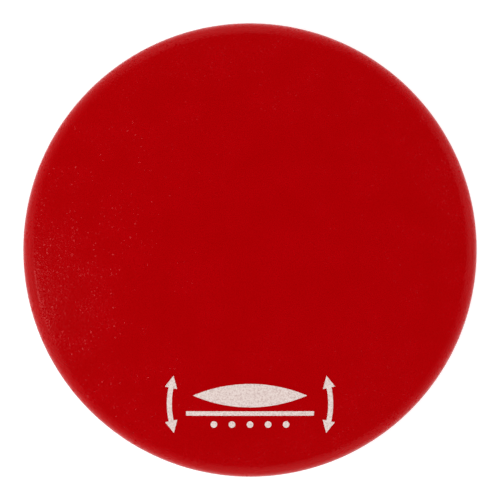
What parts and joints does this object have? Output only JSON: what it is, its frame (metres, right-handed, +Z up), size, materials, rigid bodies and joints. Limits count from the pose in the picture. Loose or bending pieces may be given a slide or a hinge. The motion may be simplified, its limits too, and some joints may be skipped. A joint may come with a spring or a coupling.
{
  "type": "wobble cushion",
  "caption": "Round inflatable balance cushion with a smooth crowned sitting face, a nubbed foot face, a rolled rim and a push-in air valve.",
  "frame": {"origin": "on the floor under the middle of the cushion, in the plane of the flattened nub tips", "axes": "+Z up through the crown of the sitting face; the print and the valve are on the -Y side"},
  "size_m": [0.33, 0.33, 0.065],
  "materials": {
    "pvc_skin": "satin",
    "valve_rubber": "matte",
    "stopper_plastic": "satin",
    "print_ink": "matte"
  },
  "bodies": {
    "foot": {"foot_face": "pvc_skin"},
    "rim_low": {"lower_rim": "pvc_skin", "valve_sleeve": "valve_rubber"},
    "rim_high": {"upper_rim": "pvc_skin"},
    "seat": {"sitting_face": "pvc_skin", "printed_mark": "print_ink"},
    "stopper": {"valve_stopper": "stopper_plastic"}
  },
  "joints": [
    {"name": "rock_front_back", "type": "hinge", "parent": "foot", "child": "rim_low", "pos_m": [0, 0, 0.0325], "axis": [1, 0, 0], "range_deg": [-6, 6], "stiffness_Nm_per_rad": 150, "deforming": ["foot_face"]},
    {"name": "sink", "type": "slide", "parent": "rim_low", "child": "rim_high", "axis": [0, 0, 1], "range_m": [-0.008, 0], "stiffness_N_per_m": 40000, "deforming": ["upper_rim"]},
    {"name": "rock_side_to_side", "type": "hinge", "parent": "rim_high", "child": "seat", "pos_m": [0, 0, 0.0325], "axis": [0, 1, 0], "range_deg": [-6, 6], "stiffness_Nm_per_rad": 150, "deforming": ["sitting_face"]},
    {"name": "stopper_pull", "type": "slide", "parent": "rim_low", "child": "stopper", "axis": [0, -1, 0], "range_m": [0, 0.016]}
  ]
}
